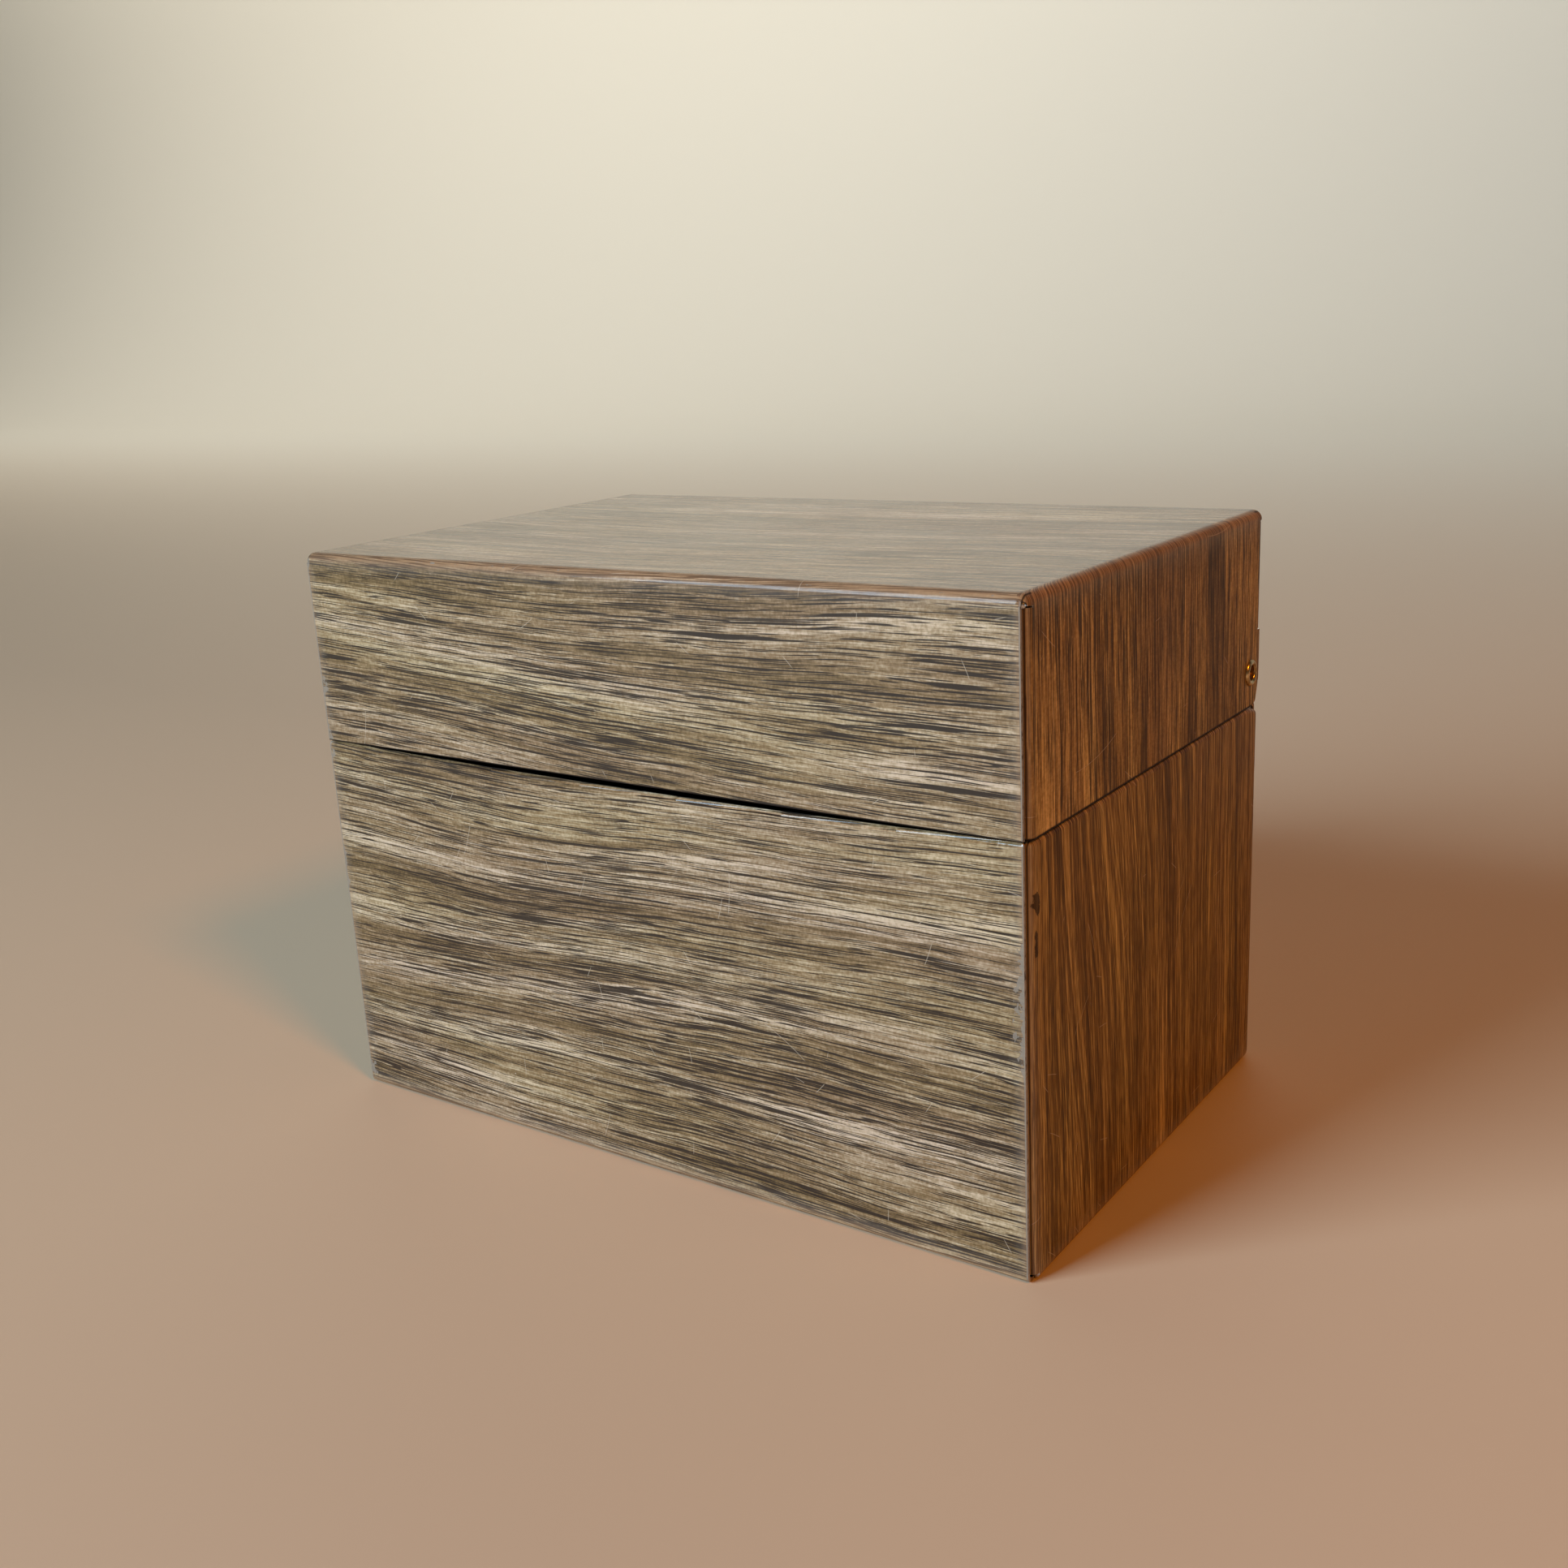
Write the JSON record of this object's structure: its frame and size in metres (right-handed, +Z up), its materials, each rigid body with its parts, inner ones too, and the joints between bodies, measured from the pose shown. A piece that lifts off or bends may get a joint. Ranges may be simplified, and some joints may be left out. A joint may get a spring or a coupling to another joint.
{
  "type": "index card box",
  "caption": "Hinged sheet-steel card box with printed wood grain; the lid closes over an inset collar and turns on rivets near the back.",
  "frame": {"origin": "centre of the base, on the surface that the closed box stands on", "axes": "+X to the right along the front, +Y from the front to the hinge side, +Z up"},
  "size_m": [0.137, 0.087, 0.098],
  "materials": {
    "body_print": "satin lacquer over printed walnut grain on steel",
    "lid_print": "satin lacquer over printed walnut grain on steel",
    "rivet_brass": "rolled, slightly tarnished"
  },
  "bodies": {
    "body": {"body_shell": "body_print", "pivot_rivet_left": "rivet_brass", "pivot_rivet_right": "rivet_brass"},
    "lid": {"lid_shell": "lid_print"}
  },
  "joints": [
    {"name": "lid_hinge", "type": "hinge", "parent": "body", "child": "lid", "pos_m": [0, 0.0385, 0.0713], "axis": [-1, 0, 0], "range_deg": [0, 101]}
  ]
}
